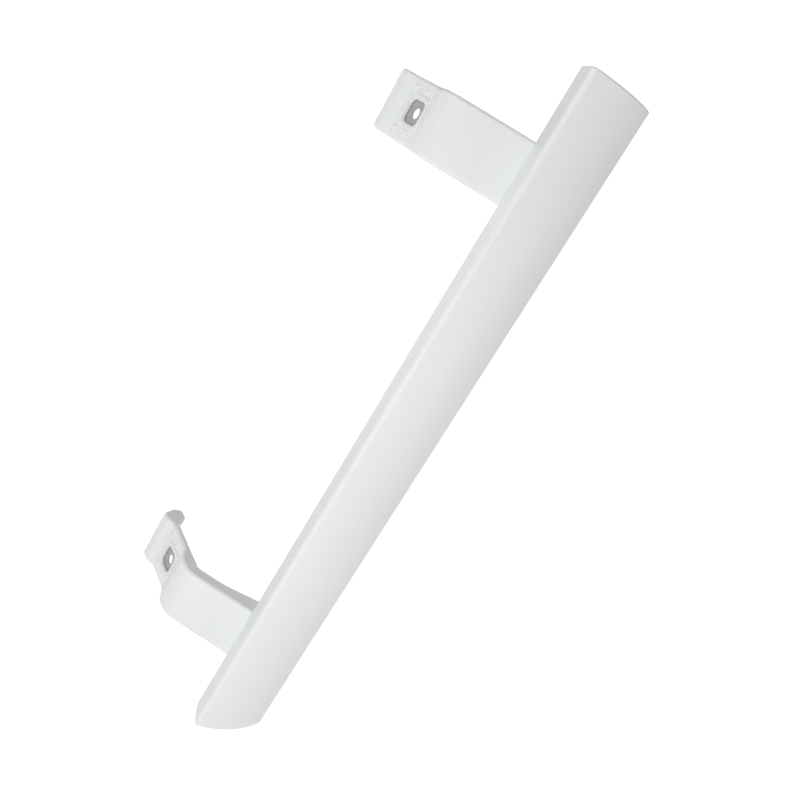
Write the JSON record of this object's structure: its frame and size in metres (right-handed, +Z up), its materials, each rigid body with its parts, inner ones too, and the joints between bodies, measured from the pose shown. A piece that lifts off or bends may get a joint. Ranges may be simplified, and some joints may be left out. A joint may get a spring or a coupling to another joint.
{
  "type": "refrigerator door handle",
  "caption": "White moulded refrigerator door handle: a long crowned grip bar on angled arms whose recessed feet screw to the side face of the door.",
  "frame": {"origin": "midway between the two screw holes, on the webs' door side where the holes end; the feet meet the door 2 mm further along +X", "axes": "+Z up along the bar, -Y forward out of the door's front, +X from the feet into the door and across to the bar"},
  "size_m": [0.052, 0.0857, 0.31],
  "materials": {
    "white_plastic": "satin-gloss white moulded plastic"
  },
  "bodies": {
    "root": {"handle": "white_plastic"}
  },
  "joints": []
}
